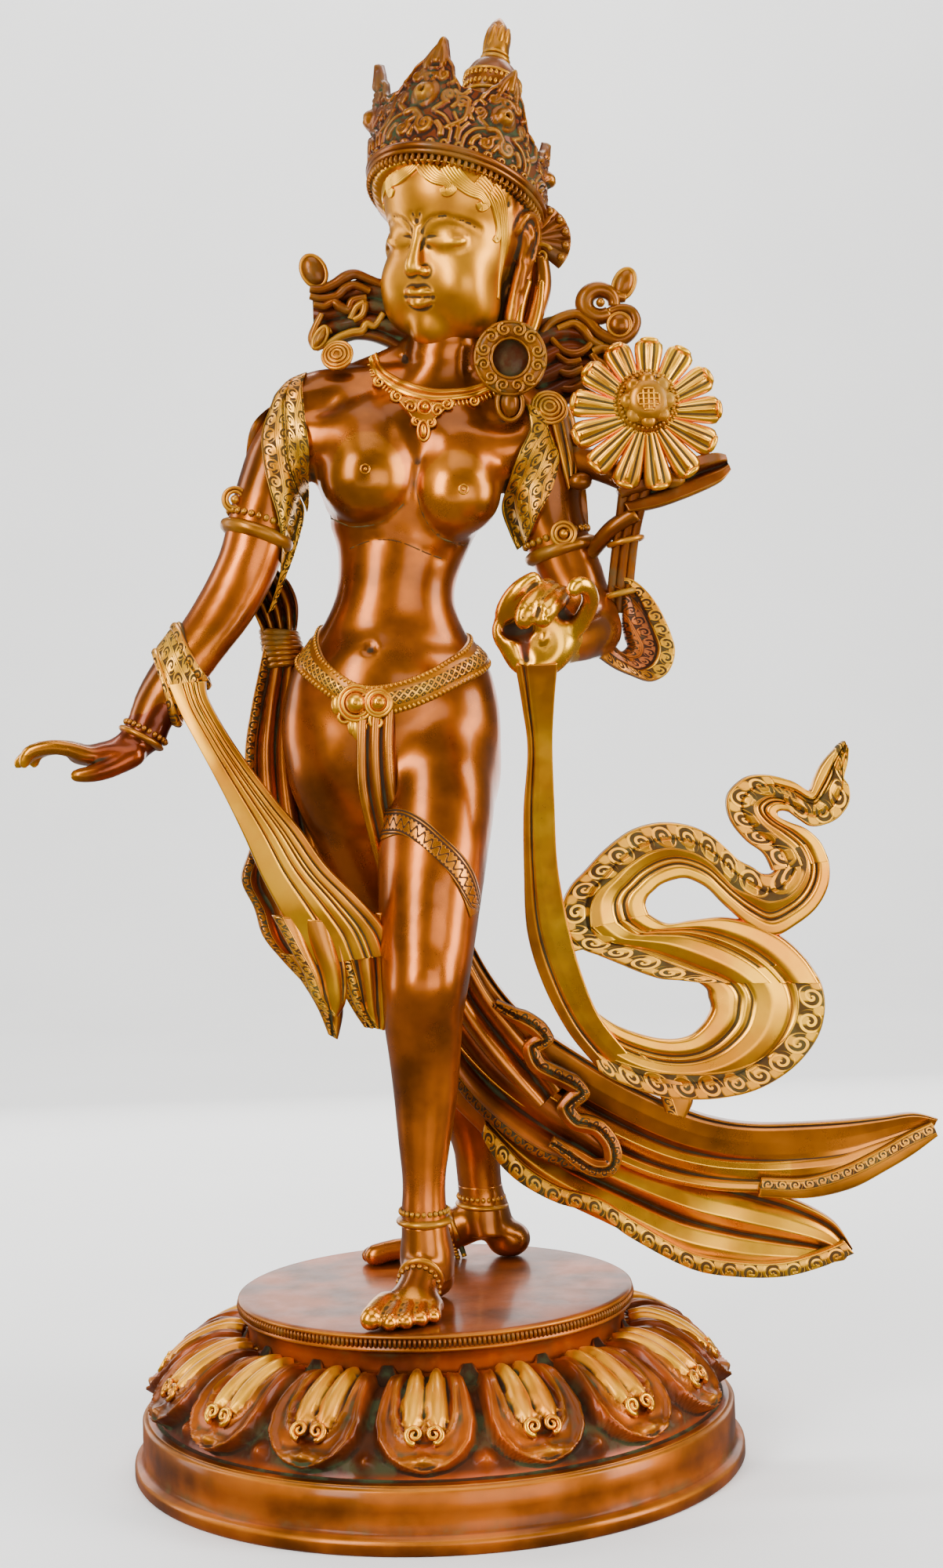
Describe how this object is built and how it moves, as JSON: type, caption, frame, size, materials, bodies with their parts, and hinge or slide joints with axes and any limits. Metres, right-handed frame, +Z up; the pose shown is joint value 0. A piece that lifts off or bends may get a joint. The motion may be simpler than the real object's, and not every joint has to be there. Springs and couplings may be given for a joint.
{
  "type": "standing tara figure on a lotus base",
  "caption": "Cast brass standing female deity with a leaf crown, a lotus at the shoulder and a winding shawl, on a round lotus base; decorative sculpture for a shelf or altar.",
  "frame": {"origin": "centre of the lotus base's underside", "axes": "+Z up out of the base, -Y the side the figure faces, +X to the figure's left"},
  "size_m": [0.4461, 0.3, 0.7203],
  "materials": {
    "figure_brass": "brown patinated cast brass, polished gold on the raised parts",
    "base_brass": "brown patinated cast brass with gold petal lobes and green in the recesses"
  },
  "bodies": {
    "root": {"figure": "figure_brass", "lotus_base": "base_brass"}
  },
  "joints": []
}
